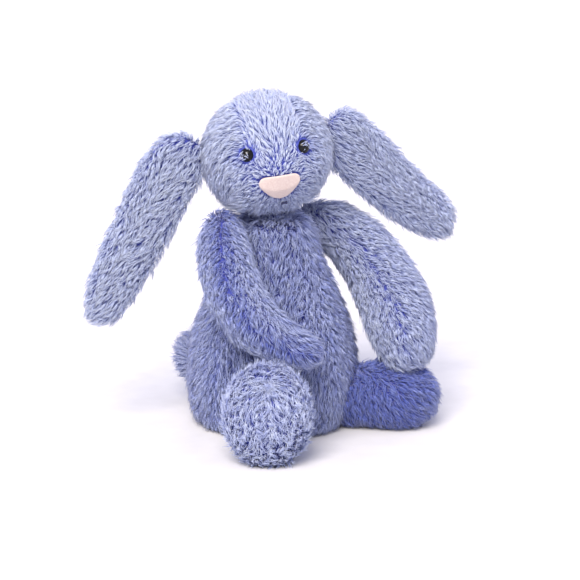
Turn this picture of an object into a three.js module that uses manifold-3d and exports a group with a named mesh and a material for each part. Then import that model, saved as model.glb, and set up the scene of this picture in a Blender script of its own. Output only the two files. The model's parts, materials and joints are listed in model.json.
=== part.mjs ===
// A seated plush rabbit with lop ears: sewn plush covers, the fibrefill and pellets inside them,
// two safety eyes with their washers, a felt nose and a stitched mouth.
// Millimetres, +Z up. The rabbit sits on z = 0 and faces -Y, so its left side is +X.
// The origin is the middle of the seat, on the torso's own axis.
import * as THREE from "three";
import { mergeVertices } from "three/addons/utils/BufferGeometryUtils.js";
import Module from "manifold-3d";

const wasm = await Module();
wasm.setup();
const { Vector3 } = THREE;

// ---------- driving dimensions ----------
const CLOTH = 1.3; // knitted backing of the plush, without its pile
const GAP = 0.4; // room between pieces that lie against each other
const SEAM = 0.5; // width of the slot between two sewn panels
const FAR = 400; // longer than the whole toy

const SIDES = 14; // facets round a cover
const RINGS = 10; // facets along a cover

const TORSO = [[0, 0], [26, 0], [31, 3.5], [33, 10], [34, 20], [33, 32], [30.5, 43], [27, 52],
  [22.5, 62], [18.5, 72], [16, 80], [13.5, 85], [8.5, 88], [0, 89]]; // radius, height
const BASE_RADIUS = 20; // round panel under the seat
const POUCH = [[0, 2.2], [15, 2.2], [18.5, 6], [18.8, 12], [15.5, 17], [0, 18.6]]; // radius, height

const NECK = new Vector3(-1, -1, 91); // centre that the head turns and nods about
const NECK_RING = [5.4, 1.9]; // radius of the gathered neck and of its roll
const HEAD_CENTRE = new Vector3(-5.5, -2, 117.2);
const HEAD_TURN = -34; // degrees about +Z from the way the torso faces
const HEAD_TILT = -7; // degrees about the head's own front-to-back line
const HEAD_RADII = new Vector3(25.5, 25.5, 23.6);
const HEAD_TAPER = 0.06; // how much narrower than its middle the head is at the crown
const GUSSET_HALF_WIDTH = 10.5; // the panel from the nose over the crown

const EYE_RADIUS = 3;
const EYE_SIDE = 11.6; // from the middle of the face
const EYE_RISE = 3.4; // above the middle of the head
const EYE_SINK = 0.6; // how far the bead's centre lies below the face
const STEM_RADIUS = 1.2;
const STEM_PAST_WASHER = 2;
const WASHER_RADIUS = 4.6;
const WASHER_BORE = 1.6;
const WASHER_THICKNESS = 1.4;
const WASHER_DEPTH = 2.4; // below the face, so that its rim clears the curved cloth
const NOSE_HALF_WIDTH = 8.6;
const NOSE_HEIGHT = 10.4;
const NOSE_TOP = -6.2; // from the middle of the head
const NOSE_THICKNESS = 1.4;
const THREAD_RADIUS = 0.6;
const MOUTH_DROP = -18.8; // from the middle of the head
const MOUTH_SIDE = 1.9; // from the middle of the face
const MOUTH_HALF_WIDTH = 1.1;

const EAR_ROOT = 27; // where the ear leaves the side of the head
const EAR_CLEARANCE = 2; // between the ear and the head, so that it can lift
const EAR_BREADTH = [15, 13.4, 12.2, 11.6, 10.9, 9.8]; // half widths, root to tip
const EAR_DEPTH = [3.4, 3.8, 3.8, 3.6, 3.4, 3.2];
const EARS = {
  left: [[EAR_ROOT, 1, 8.5], [42.5, 8, -10.5], [61.5, 18.5, -32], [82, 29.5, -50.5]],
  right: [[-EAR_ROOT, 1, 8.2], [-40.5, 1, -2.5], [-53.5, 1, -21.5], [-66.5, 1, -40], [-80, 1, -61]],
};

const SHOULDER = new Vector3(26.5, 1, 84.5); // of the left arm; the right one mirrors it
const ARMS = {
  left: {
    path: [[-10.5, 4, 1.5], [8.5, -8, -5.5], [14, -27, -24.5], [9.5, -41, -40], [2, -53.5, -56]],
    radii: [8.5, 10.5, 11.8, 14, 14],
  },
  right: {
    path: [[7.5, 9.5, 6], [-5.5, -5.5, -9], [-11.5, -24, -27.5], [-6, -38, -38], [3, -51, -42]],
    radii: [8.4, 9.6, 9.3, 9, 8.5],
  },
};

const HIP_REACH = 34; // from the torso's axis
const HIP_HEIGHT = 12.8;
const LEG_RADIUS = 12.2;
const LEG_SWING = 60; // degrees that a leg drops from sitting
const LEGS = {
  // turn: degrees from straight ahead; reach: from the torso's axis to the middle of the foot
  left: { turn: 37, reach: 50.5, radii: [18.5, 14, 13.6] },
  right: { turn: -46.5, reach: 62.5, radii: [11, 16, 20] },
};

const TAIL_CENTRE = new Vector3(-1, 44.4, 21);
const TAIL_RADIUS = 9.4;

const PLUSH = 0x9aa0d4;
const FIBREFILL = 0xf2f2ee;
const PELLET_CLOTH = 0xd9d4c8;
const NOSE_PINK = 0xefdddb;
const BLACK = 0x0c0c10;
const NYLON_WHITE = 0xe8e8e4;
const THREAD = 0x1d2150;

// ---------- helpers ----------
const radians = THREE.MathUtils.degToRad;
const curve = (points) => new THREE.CatmullRomCurve3(points.map((p) => new Vector3(...p)));

/** The geometry with only its places, each held once. */
function bare(geometry) {
  const copy = geometry.clone();
  copy.deleteAttribute("normal");
  copy.deleteAttribute("uv");
  return mergeVertices(copy, 1e-4);
}

/** A geometry as a solid. */
function solidOf(geometry) {
  const merged = bare(geometry);
  const vertProperties = new Float32Array(merged.attributes.position.array);
  const triVerts = new Uint32Array(merged.index.array);
  return new wasm.Manifold(new wasm.Mesh({ numProp: 3, vertProperties, triVerts }));
}

/** A solid as a geometry. */
function geometryOf(solid) {
  const { vertProperties, triVerts } = solid.getMesh();
  const made = new THREE.BufferGeometry();
  made.setAttribute("position", new THREE.BufferAttribute(new Float32Array(vertProperties), 3));
  made.setIndex(new THREE.BufferAttribute(new Uint32Array(triVerts), 1));
  made.computeVertexNormals();
  return made;
}

/** The same closed form with its surface moved inwards, or outwards by a negative distance. */
function inset(geometry, distance) {
  const moved = bare(geometry);
  moved.computeVertexNormals();
  const { position, normal } = moved.attributes;
  const at = new Vector3();
  const away = new Vector3();
  for (let i = 0; i < position.count; i++) {
    away.fromBufferAttribute(normal, i);
    at.fromBufferAttribute(position, i).addScaledVector(away, -distance);
    position.setXYZ(i, at.x, at.y, at.z);
  }
  return moved;
}

/** Everything on the side of a plane that its normal points to. */
function halfSpace(point, normal) {
  const box = new THREE.BoxGeometry(FAR, FAR, FAR).translate(0, 0, FAR / 2);
  const up = new Vector3(0, 0, 1);
  box.applyQuaternion(new THREE.Quaternion().setFromUnitVectors(up, normal.clone().normalize()));
  return solidOf(box.translate(point.x, point.y, point.z));
}

/** The two panels of a cover, either side of the seam plane. */
function panels(cover, point, normal) {
  const away = normal.clone().normalize();
  const one = point.clone().addScaledVector(away, SEAM / 2);
  const other = point.clone().addScaledVector(away, -SEAM / 2);
  return [
    cover.intersect(halfSpace(one, away)),
    cover.intersect(halfSpace(other, away.clone().negate())),
  ];
}

function ellipsoid(centre, radii, sides = SIDES, rings = RINGS) {
  const made = new THREE.SphereGeometry(1, sides, rings).scale(radii.x, radii.y, radii.z);
  return made.translate(centre.x, centre.y, centre.z);
}

const ball = (centre, radius, sides = SIDES, rings = RINGS) =>
  ellipsoid(centre, new Vector3(radius, radius, radius), sides, rings);

/** A straight round bar between two points. */
function bar(from, to, radius, sides = 12) {
  const along = to.clone().sub(from);
  const made = new THREE.CylinderGeometry(radius, radius, along.length(), sides);
  const up = new Vector3(0, 1, 0);
  made.applyQuaternion(new THREE.Quaternion().setFromUnitVectors(up, along.normalize()));
  const middle = from.clone().add(to).multiplyScalar(0.5);
  return made.translate(middle.x, middle.y, middle.z);
}

/**
 * A stuffed tube: a sphere drawn out along a path. breadth and depth are half sizes at even steps
 * along it, across is the direction that breadth is measured in, and a higher blunt gives squarer ends.
 */
function tube(path, breadth, depth, across, blunt = 2.6) {
  const line = curve(path);
  const sizes = curve(breadth.map((b, i) => [b, depth[i], 0]));
  const made = bare(new THREE.SphereGeometry(1, SIDES, RINGS));
  const { position } = made.attributes;
  const point = new Vector3();
  for (let i = 0; i < position.count; i++) {
    point.fromBufferAttribute(position, i);
    const share = THREE.MathUtils.clamp((1 - point.y) / 2, 0, 1);
    const around = Math.hypot(point.x, point.z);
    const width = (1 - Math.abs(2 * share - 1) ** blunt) ** (1 / blunt);
    const along = line.getTangentAt(share);
    const a = across.clone().addScaledVector(along, -across.dot(along)).normalize();
    const b = a.clone().cross(along);
    const size = sizes.getPoint(share);
    const at = line.getPointAt(share);
    if (around > 1e-6) {
      at.addScaledVector(a, (point.x / around) * size.x * width);
      at.addScaledVector(b, (-point.z / around) * size.y * width);
    }
    position.setXYZ(i, at.x, at.y, at.z);
  }
  return made;
}

/** The shell that a set of joined forms is sewn as, and the room that its stuffing fills. */
function sewn(forms) {
  const joined = (distance) =>
    forms.map((form) => solidOf(inset(form, distance))).reduce((all, one) => all.add(one));
  return { shell: joined(0).subtract(joined(CLOTH)), filling: joined(CLOTH + GAP) };
}

// ---------- materials and the group ----------
const finish = (color, roughness) => new THREE.MeshStandardMaterial({ color, roughness, metalness: 0 });
const rabbit = new THREE.Group();

function add(parent, name, solid, color, roughness = 0.95) {
  const mesh = new THREE.Mesh(geometryOf(solid), finish(color, roughness));
  mesh.name = name;
  parent.add(mesh);
}

// ---------- legs: a plush tube that ends in a foot ----------
function legFrame({ turn }) {
  const angle = radians(turn);
  const ahead = new Vector3(Math.sin(angle), -Math.cos(angle), 0);
  return { ahead, aside: new Vector3(-ahead.y, ahead.x, 0) };
}

/** The leg's forms: a ball at the hip, a bar to the foot, and the foot itself. */
function legForms(leg) {
  const { ahead, aside } = legFrame(leg);
  const hip = ahead.clone().multiplyScalar(HIP_REACH).setZ(HIP_HEIGHT);
  const knee = ahead.clone().multiplyScalar(leg.reach).setZ(HIP_HEIGHT);
  const [along, across, upright] = leg.radii;
  const foot = ellipsoid(new Vector3(), new Vector3(across, along, upright));
  foot.rotateZ(Math.atan2(aside.y, aside.x));
  foot.translate(ahead.x * leg.reach, ahead.y * leg.reach, upright);
  return [ball(hip, LEG_RADIUS), bar(hip, knee, LEG_RADIUS - GAP, SIDES), foot];
}

function addLegs() {
  for (const [side, leg] of Object.entries(LEGS)) {
    const { aside } = legFrame(leg);
    const { shell, filling } = sewn(legForms(leg));
    const [one, other] = panels(shell, new Vector3(), side === "left" ? aside : aside.clone().negate());
    add(rabbit, `leg_${side}_outer_panel`, one, PLUSH);
    add(rabbit, `leg_${side}_inner_panel`, other, PLUSH);
    add(rabbit, `leg_${side}_stuffing`, filling, FIBREFILL, 1);
  }
}

/** The room that a leg needs in the torso as it drops: a slot with flat sides and a round back. */
function legRoom({ turn }) {
  const radius = LEG_RADIUS + GAP;
  const ahead = legFrame({ turn }).ahead;
  const drop = radians(LEG_SWING);
  const slot = new THREE.Shape();
  slot.moveTo(HIP_REACH + radius * 2, HIP_HEIGHT + radius);
  slot.lineTo(HIP_REACH, HIP_HEIGHT + radius);
  slot.absarc(HIP_REACH, HIP_HEIGHT, radius, Math.PI / 2, Math.PI * 1.5 - drop, false);
  slot.lineTo(HIP_REACH, HIP_HEIGHT - radius / Math.cos(drop));
  slot.lineTo(HIP_REACH + radius * 2, HIP_HEIGHT - radius / Math.cos(drop));
  const settings = { depth: radius * 2, bevelEnabled: false, curveSegments: 6 };
  const made = new THREE.ExtrudeGeometry(slot, settings).translate(0, 0, -radius);
  const up = new Vector3(0, 0, 1);
  return solidOf(made.applyMatrix4(new THREE.Matrix4().makeBasis(ahead, up, ahead.clone().cross(up))));
}

/** The room that both legs and the neck need in the torso. */
function torsoRoom() {
  const neckRoom = solidOf(ball(NECK, NECK_RING[0] + NECK_RING[1] + GAP));
  return Object.values(LEGS).map(legRoom).reduce((all, one) => all.add(one), neckRoom);
}

// ---------- torso: two plush panels and a base panel, pellets below and fibrefill above ----------
const lathe = (profile) =>
  new THREE.LatheGeometry(profile.map(([r, z]) => new THREE.Vector2(r, z)), SIDES + 4).rotateX(Math.PI / 2);

function addTorso() {
  const room = torsoRoom();
  const outer = lathe(TORSO);
  const inner = solidOf(inset(outer, CLOTH));
  const filling = solidOf(inset(outer, CLOTH + GAP));
  const base = (radius) => solidOf(bar(new Vector3(0, 0, -1), new Vector3(0, 0, CLOTH), radius, 24));
  const shell = solidOf(outer).subtract(inner);
  const cover = shell.subtract(base(BASE_RADIUS + SEAM)).subtract(room);
  const [front, back] = panels(cover, new Vector3(), new Vector3(0, -1, 0));
  const pouchTop = POUCH.at(-1)[1];
  const overPouch = halfSpace(new Vector3(0, 0, pouchTop + GAP), new Vector3(0, 0, 1));
  add(rabbit, "torso_front_panel", front, PLUSH);
  add(rabbit, "torso_back_panel", back, PLUSH);
  add(rabbit, "torso_base_panel", shell.intersect(base(BASE_RADIUS)).subtract(room), PLUSH);
  add(rabbit, "pellet_pouch", solidOf(lathe(POUCH)), PELLET_CLOTH, 0.9);
  add(rabbit, "torso_stuffing", filling.intersect(overPouch).subtract(room), FIBREFILL, 1);
}

// ---------- neck: the gathered ring of cloth that the head is stitched to ----------
function addNeck() {
  const [ring, roll] = NECK_RING;
  const outline = new THREE.EllipseCurve(ring, 0, roll, roll).getPoints(10);
  const made = new THREE.LatheGeometry(outline, SIDES).rotateX(Math.PI / 2);
  add(rabbit, "neck_gather", solidOf(made.translate(NECK.x, NECK.y, NECK.z)), PLUSH);
}

// ---------- arms: plush tubes that hang from the shoulders, seamed along two sides ----------
/** The seam's own frame: seen level from the rabbit's right front, so both arms show their seam there. */
const SEAM_RIGHT = new Vector3(Math.SQRT1_2, -Math.SQRT1_2, 0);

/** Everything on one side of a path, seen as the seam is: -1 is to the left of it, 1 to the right. */
function besidePath(path, side) {
  const up = new Vector3(0, 0, 1);
  const steps = 16;
  const line = curve(path).getSpacedPoints(steps).map((p) => new THREE.Vector2(p.dot(SEAM_RIGHT), p.z));
  const first = line[0];
  const last = line.at(-1);
  const ahead = last.clone().sub(line.at(-2)).setLength(FAR).add(last);
  const leftSide = [[ahead.x, -2 * FAR], [-2 * FAR, -2 * FAR], [-2 * FAR, FAR]];
  const rightSide = [[2 * FAR, ahead.y], [2 * FAR, FAR]];
  const corners = side < 0 ? leftSide : rightSide;
  const outline = [[first.x, FAR], ...line.map((p) => [p.x, p.y]), [ahead.x, ahead.y], ...corners];
  const shift = (side * SEAM) / 2;
  const shape = new THREE.Shape(outline.map(([x, y]) => new THREE.Vector2(x + shift, y + shift)));
  const settings = { depth: FAR, bevelEnabled: false };
  const prism = new THREE.ExtrudeGeometry(shape, settings).translate(0, 0, -FAR / 2);
  const away = SEAM_RIGHT.clone().cross(up);
  return solidOf(prism.applyMatrix4(new THREE.Matrix4().makeBasis(SEAM_RIGHT, up, away)));
}

function addArms() {
  for (const [side, arm] of Object.entries(ARMS)) {
    const outward = side === "left" ? 1 : -1;
    const shoulder = SHOULDER.clone().setX(SHOULDER.x * outward);
    const path = arm.path.map((p) => new Vector3(...p).add(shoulder).toArray());
    const { shell, filling } = sewn([tube(path, arm.radii, arm.radii, new Vector3(1, 0, 0))]);
    add(rabbit, `arm_${side}_outer_panel`, shell.intersect(besidePath(path, outward)), PLUSH);
    add(rabbit, `arm_${side}_inner_panel`, shell.intersect(besidePath(path, -outward)), PLUSH);
    add(rabbit, `arm_${side}_stuffing`, filling, FIBREFILL, 1);
  }
}

// ---------- tail: a small round ball of plush ----------
function addTail() {
  const { shell, filling } = sewn([ball(TAIL_CENTRE, TAIL_RADIUS)]);
  const [upper, lower] = panels(shell, TAIL_CENTRE, new Vector3(0, 0, 1));
  add(rabbit, "tail_upper_panel", upper, PLUSH);
  add(rabbit, "tail_lower_panel", lower, PLUSH);
  add(rabbit, "tail_stuffing", filling, FIBREFILL, 1);
}

// ---------- head, in its own frame: x to its left, -y to its nose, z to its crown ----------
/** The head's breadth at a height, as a share of its breadth at the middle. */
const headShare = (z) => 1 - (HEAD_TAPER * z) / HEAD_RADII.z;

const headForm = ellipsoid(new Vector3(), HEAD_RADII, 18, 12);
const crown = headForm.attributes.position;
for (let i = 0; i < crown.count; i++) {
  const share = headShare(crown.getZ(i));
  crown.setX(i, crown.getX(i) * share);
  crown.setY(i, crown.getY(i) * share);
}

/** How far in front of the head's middle its surface lies, at a place on the face. */
function faceDepth(x, z) {
  const share = headShare(z);
  return HEAD_RADII.y * share * Math.sqrt(1 - (x / HEAD_RADII.x / share) ** 2 - (z / HEAD_RADII.z) ** 2);
}

/** A half oval with a flat top and small round corners. */
function noseOutline() {
  const w = NOSE_HALF_WIDTH;
  const corner = w * 0.38;
  const shape = new THREE.Shape();
  shape.moveTo(-w, NOSE_TOP - corner);
  shape.quadraticCurveTo(-w, NOSE_TOP, -w + corner, NOSE_TOP);
  shape.lineTo(w - corner, NOSE_TOP);
  shape.quadraticCurveTo(w, NOSE_TOP, w, NOSE_TOP - corner);
  shape.bezierCurveTo(w, -NOSE_HEIGHT, w * 0.5, NOSE_TOP - NOSE_HEIGHT, 0, NOSE_TOP - NOSE_HEIGHT);
  shape.bezierCurveTo(-w * 0.5, NOSE_TOP - NOSE_HEIGHT, -w, -NOSE_HEIGHT, -w, NOSE_TOP - corner);
  return shape;
}

/** One safety eye: a bead on a stem through the cloth, and the washer that locks it from inside. */
function addEye(parent, side, sign, head) {
  const at = new Vector3(sign * EYE_SIDE, -faceDepth(EYE_SIDE, EYE_RISE), EYE_RISE);
  const inward = at.clone().divide(HEAD_RADII).divide(HEAD_RADII).normalize().negate();
  const middle = at.clone().addScaledVector(inward, EYE_SINK);
  const step = (distance) => at.clone().addScaledVector(inward, distance);
  const washerTo = WASHER_DEPTH + WASHER_THICKNESS;
  const stemTo = washerTo + STEM_PAST_WASHER;
  const outside = step(-EYE_RADIUS - 1);

  const stem = bar(step(1), step(stemTo), STEM_RADIUS, 10);
  const bead = solidOf(ball(middle, EYE_RADIUS, 12, 8)).subtract(halfSpace(step(CLOTH), inward));
  const bore = solidOf(bar(step(WASHER_DEPTH - 1), step(washerTo + 1), WASHER_BORE, 10));
  const washer = solidOf(bar(step(WASHER_DEPTH), step(washerTo), WASHER_RADIUS, 14)).subtract(bore);
  add(parent, `eye_${side}`, bead.add(solidOf(stem)), BLACK, 0.1);
  add(parent, `eye_washer_${side}`, washer, NYLON_WHITE, 0.4);

  const opening = solidOf(bar(outside, step(CLOTH + GAP), EYE_RADIUS + GAP, 14));
  const pocket = solidOf(bar(outside, step(washerTo + GAP), WASHER_RADIUS + GAP, 16));
  const stemRoom = solidOf(bar(outside, step(stemTo + GAP), WASHER_BORE, 10));
  head.cover = head.cover.subtract(opening);
  head.filling = head.filling.subtract(pocket).subtract(stemRoom);
}

function addHead() {
  const turned = new THREE.Group();
  turned.position.copy(HEAD_CENTRE);
  turned.rotation.z = radians(HEAD_TURN);
  const head = new THREE.Group();
  head.rotation.y = radians(HEAD_TILT);
  turned.add(head);
  rabbit.add(turned);
  turned.updateMatrixWorld(true);

  const neck = head.worldToLocal(NECK.clone());
  const neckRoom = solidOf(ball(neck, NECK_RING[0] + NECK_RING[1] + GAP));
  const solid = (distance) => solidOf(inset(headForm, distance));
  const parts = { cover: solid(0).subtract(solid(CLOTH)), filling: solid(CLOTH + GAP) };
  addEye(head, "left", 1, parts);
  addEye(head, "right", -1, parts);

  const cover = parts.cover.subtract(neckRoom);
  const x = new Vector3(1, 0, 0);
  const seam = new Vector3(GUSSET_HALF_WIDTH, 0, 0);
  const [leftSide, rest] = panels(cover, seam, x);
  const [centre, rightSide] = panels(rest, seam.clone().negate(), x);
  add(head, "head_side_panel_left", leftSide, PLUSH);
  add(head, "head_centre_panel", centre, PLUSH);
  add(head, "head_side_panel_right", rightSide, PLUSH);
  add(head, "head_stuffing", parts.filling.subtract(neckRoom), FIBREFILL, 1);

  const settings = { depth: HEAD_RADII.y + CLOTH * 4, bevelEnabled: false, curveSegments: 5 };
  const prism = new THREE.ExtrudeGeometry(noseOutline(), settings).rotateX(Math.PI / 2);
  const patch = solid(-GAP - NOSE_THICKNESS).subtract(solid(-GAP)).intersect(solidOf(prism));
  add(head, "nose_patch", patch, NOSE_PINK, 0.9);

  const droop = 0.8;
  const lip = [-1, -0.5, 0, 0.5, 1].map((share) => {
    const across = MOUTH_SIDE + share * MOUTH_HALF_WIDTH;
    const ahead = faceDepth(across, MOUTH_DROP) + GAP + THREAD_RADIUS * 1.4;
    return [across, -ahead, MOUTH_DROP - droop * share * share];
  });
  const round = [THREAD_RADIUS, THREAD_RADIUS, THREAD_RADIUS];
  const stitch = tube(lip, round, round, new Vector3(0, 0, 1));
  add(head, "mouth_stitch", solidOf(stitch), THREAD, 0.8);

  for (const [side, path] of Object.entries(EARS)) {
    const flat = new Vector3(0.2, 0, 1); // an ear is broad this way and thin across it
    const ear = solidOf(tube(path, EAR_BREADTH, EAR_DEPTH, flat, 3.4)).subtract(solid(-EAR_CLEARANCE));
    const facing = new Vector3(side === "left" ? 0.45 : 0, -1, 0);
    const [front, back] = panels(ear, new Vector3(...path[1]), facing);
    add(head, `ear_${side}_front_panel`, front, PLUSH);
    add(head, `ear_${side}_back_panel`, back, PLUSH);
  }
}

addTorso();
addNeck();
addLegs();
addArms();
addTail();
addHead();

export default rabbit;
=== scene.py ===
# %% [markdown]
# # A seated plush rabbit, from its sewn covers to its pile
#
# The rabbit is nine stuffed bags of long-pile plush: torso, head, two ears, two arms, two legs and a tail.
# Each bag is made in the order of a toy workshop: the sewn cover is stuffed, its pile is combed, and then
# the eyes, nose and mouth go on. The rigid frame gives the size and place of every bag and part. Finer
# measures, such as those of the pile, the thread and the eyes' stems, are given here.

# %% Load the frame and keep its box
import heapq
import json
import math

import bmesh
import bpy
import numpy as np
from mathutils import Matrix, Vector
from mathutils.bvhtree import BVHTree
from mathutils.kdtree import KDTree


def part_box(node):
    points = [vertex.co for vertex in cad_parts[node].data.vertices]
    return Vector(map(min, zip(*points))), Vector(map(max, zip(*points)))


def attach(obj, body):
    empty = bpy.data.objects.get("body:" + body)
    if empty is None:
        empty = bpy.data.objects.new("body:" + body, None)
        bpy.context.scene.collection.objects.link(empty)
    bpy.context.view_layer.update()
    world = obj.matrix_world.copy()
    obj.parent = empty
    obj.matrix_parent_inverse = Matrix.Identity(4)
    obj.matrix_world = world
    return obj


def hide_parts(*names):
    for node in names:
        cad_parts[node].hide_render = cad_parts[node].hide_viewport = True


MM = 0.001
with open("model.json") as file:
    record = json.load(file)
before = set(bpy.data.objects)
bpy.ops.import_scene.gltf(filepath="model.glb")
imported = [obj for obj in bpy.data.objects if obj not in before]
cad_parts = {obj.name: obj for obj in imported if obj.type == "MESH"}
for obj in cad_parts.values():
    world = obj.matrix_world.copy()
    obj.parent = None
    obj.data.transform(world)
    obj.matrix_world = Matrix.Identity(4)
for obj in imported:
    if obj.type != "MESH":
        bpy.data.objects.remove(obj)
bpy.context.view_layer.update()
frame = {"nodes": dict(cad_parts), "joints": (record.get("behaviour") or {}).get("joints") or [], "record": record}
members = frame["record"]["behaviour"]["bodies"]


# %% [markdown]
# ## Small tools
#
# Colours are written as the sRGB hex values that a colour picker shows, and Blender's shaders work on
# linear light, so one function turns one into the other. A second function adds a shader node with its
# settings and links, which keeps each material readable as a list of nodes.

# %% Colour and node helpers
def linear(hex_colour):
    """An sRGB hex colour such as 0x9AA0D4 as linear RGBA."""
    channels = [(hex_colour >> shift & 255) / 255 for shift in (16, 8, 0)]
    return tuple(c / 12.92 if c <= 0.04045 else ((c + 0.055) / 1.055) ** 2.4 for c in channels) + (1,)


def add_node(tree, kind, settings=None, **sockets):
    """Adds a node. A socket's value is a plain value, or another node's output, which is linked."""
    node = tree.nodes.new("ShaderNode" + kind)
    for name, value in (settings or {}).items():
        setattr(node, name, value)
    for name, value in sockets.items():
        socket = node.inputs[int(name[1:]) if name[1:].isdigit() else name.replace("_", " ")]
        if isinstance(value, bpy.types.NodeSocket):
            tree.links.new(value, socket)
        else:
            socket.default_value = value
    return node


def new_material(name):
    """A material with an empty tree but for its output, and that output's surface socket."""
    material = bpy.data.materials.new(name)
    material.use_nodes = True
    tree = material.node_tree
    tree.nodes.clear()
    output = tree.nodes.new("ShaderNodeOutputMaterial")
    return material, tree, output.inputs["Surface"]


def ramp(tree, factor, stops):
    """A colour ramp through (place, hex colour) stops."""
    node = add_node(tree, "ValToRGB", _0=factor)
    elements = node.color_ramp.elements
    while len(elements) < len(stops):
        elements.new(0.5)
    for element, (place, colour) in zip(elements, stops):
        element.position = place
        element.color = linear(colour)
    return node.outputs["Color"]


# %% [markdown]
# ## The camera, the light and the ground
#
# A small toy is usually shown from just above its own eye level, with a long lens so that its feet don't
# swell towards the viewer. One broad lamp, high and a little left of the viewer, is the key, and its
# width keeps the shadows soft. The rest of the light comes from a pale room that is a little lavender,
# so whatever the lamp can't reach turns cooler and bluer, as it does on a white table in a bright room.

# %% Camera
VIEW_AZIMUTH = math.radians(-45)
VIEW_RISE = math.radians(12.5)
VIEW_DISTANCE = 0.85
FRAME_WIDTH = 0.249  # what the picture spans at the toy
toward_view = Vector(
    (
        math.sin(VIEW_AZIMUTH) * math.cos(VIEW_RISE),
        -math.cos(VIEW_AZIMUTH) * math.cos(VIEW_RISE),
        math.sin(VIEW_RISE),
    )
)
view_right = Vector((math.cos(VIEW_AZIMUTH), math.sin(VIEW_AZIMUTH), 0))
view_up = toward_view.cross(view_right)
AIM_RIGHT = 7.3 * MM  # from the middle of the seat
AIM_UP = 55.8 * MM
SENSOR = 36  # millimetres, the width of a full-frame sensor
aim = view_right * AIM_RIGHT + view_up * AIM_UP

camera_data = bpy.data.cameras.new("camera")
camera_data.sensor_width = SENSOR
camera_data.lens = SENSOR * VIEW_DISTANCE / FRAME_WIDTH
camera = bpy.data.objects.new("camera", camera_data)
bpy.context.scene.collection.objects.link(camera)
camera.location = aim + toward_view * VIEW_DISTANCE
camera.rotation_euler = toward_view.to_track_quat("Z", "Y").to_euler()
bpy.context.scene.camera = camera
bpy.context.scene.view_settings.view_transform = "Standard"


# %% Lights and ground
LAMP_FROM = Vector((-0.62, -0.38, 0.69))  # a little left of the viewer, and 43 degrees up
GROUND_REACH = 6.0  # metres, far enough that its edge is out of view

lamp_data = bpy.data.lights.new("key_light", "SUN")
lamp_data.energy = 4.7
lamp_data.angle = math.radians(34)  # as wide as a large softbox seen from the toy
lamp_data.color = linear(0xFFF6EA)[:3]
lamp = bpy.data.objects.new("key_light", lamp_data)
bpy.context.scene.collection.objects.link(lamp)
lamp.rotation_euler = LAMP_FROM.to_track_quat("Z", "Y").to_euler()

world = bpy.data.worlds.new("pale_room")
bpy.context.scene.world = world
world.use_nodes = True
background = world.node_tree.nodes["Background"]
background.inputs["Color"].default_value = linear(0xE6E6FF)
background.inputs["Strength"].default_value = 1.08

square = ((-1, -1), (1, -1), (1, 1), (-1, 1))
ground_corners = [(x * GROUND_REACH, y * GROUND_REACH, 0) for x, y in square]
ground_mesh = bpy.data.meshes.new("ground")
ground_mesh.from_pydata(ground_corners, [], [(0, 1, 2, 3)])
ground = bpy.data.objects.new("ground", ground_mesh)
bpy.context.scene.collection.objects.link(ground)
material, tree, surface = new_material("matt_white_paper")  # uncoated, so it has no gloss
grain = add_node(tree, "TexNoise", Scale=900.0, Detail=2.0)
paper = ramp(tree, grain.outputs["Fac"], [(0.3, 0xCECED0), (0.7, 0xD4D4D6)])
shader = add_node(tree, "BsdfPrincipled", Base_Color=paper, Roughness=0.9)
tree.links.new(shader.outputs["BSDF"], surface)
ground_mesh.materials.append(material)
print("camera at", [round(x, 3) for x in camera.location], "lens", round(camera_data.lens, 1))


# %% [markdown]
# ## Stuffed covers
#
# A plush bag starts as flat panels sewn together inside out, then it is turned and packed with fibre.
# The pressure of the fibre rounds every panel, and each seam holds the surface back, so a stuffed bag is
# full between its seams and pinched along them. The frame's panels are solids that are already full, so
# fusing them and their stuffing into one skin and smoothing it gives nearly the whole of that form. Then
# the vertices along the seams are pinned, and a short cloth simulation presses on the skin from inside,
# as the fibre does. It settles the skin by a seventh of a millimetre at most, and the limbs hardly at all.

# %% Read the frame's meshes
def coordinates(mesh):
    """A mesh's places as an array, one row for each vertex."""
    flat = np.empty(len(mesh.vertices) * 3)
    mesh.vertices.foreach_get("co", flat)
    return flat.reshape(-1, 3)


def tree_of(names):
    """A search tree over several CAD nodes together."""
    vertices, faces = [], []
    for name in names:
        mesh = frame["nodes"][name].data
        start = len(vertices)
        vertices += [v.co[:] for v in mesh.vertices]
        faces += [[start + i for i in p.vertices] for p in mesh.polygons]
    return BVHTree.FromPolygons(vertices, faces)


def nearest(tree, points):
    """The nearest place on a tree's surface to each point, and how far away it is."""
    found = [tree.find_nearest(Vector(p)) for p in points]
    return np.array([f[0][:] for f in found]), np.array([f[3] for f in found])


# %% Fuse the frame's solids of one body into a skin
VOXEL = 1.5 * MM  # wider than the slots between panels, so that it closes them
SKIN_STEP = 2.2 * MM  # the size of the skin's own faces
RELAX_STEPS = [0.5, -0.53]  # inwards, then outwards by a little more
RELAX_ROUNDS = 12


def apply_modifiers(ob):
    """Keeps an object's shape as its modifiers leave it, and drops them."""
    graph = bpy.context.evaluated_depsgraph_get()
    graph.update()
    finished = bpy.data.meshes.new_from_object(ob.evaluated_get(graph))
    ob.modifiers.clear()
    old = ob.data
    ob.data = finished
    bpy.data.meshes.remove(old)


def keep_outside(mesh):
    """Deletes every loose part but the one with the most vertices, which leaves no shell inside."""
    work = bmesh.new()
    work.from_mesh(mesh)
    left = set(work.verts)
    parts = []
    while left:
        seed = left.pop()
        part, queue = [seed], [seed]
        while queue:
            for edge in queue.pop().link_edges:
                for other in edge.verts:
                    if other in left:
                        left.discard(other)
                        part.append(other)
                        queue.append(other)
        parts.append(part)
    parts.sort(key=len)
    for part in parts[:-1]:
        bmesh.ops.delete(work, geom=part, context="VERTS")
    work.to_mesh(mesh)
    work.free()


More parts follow.
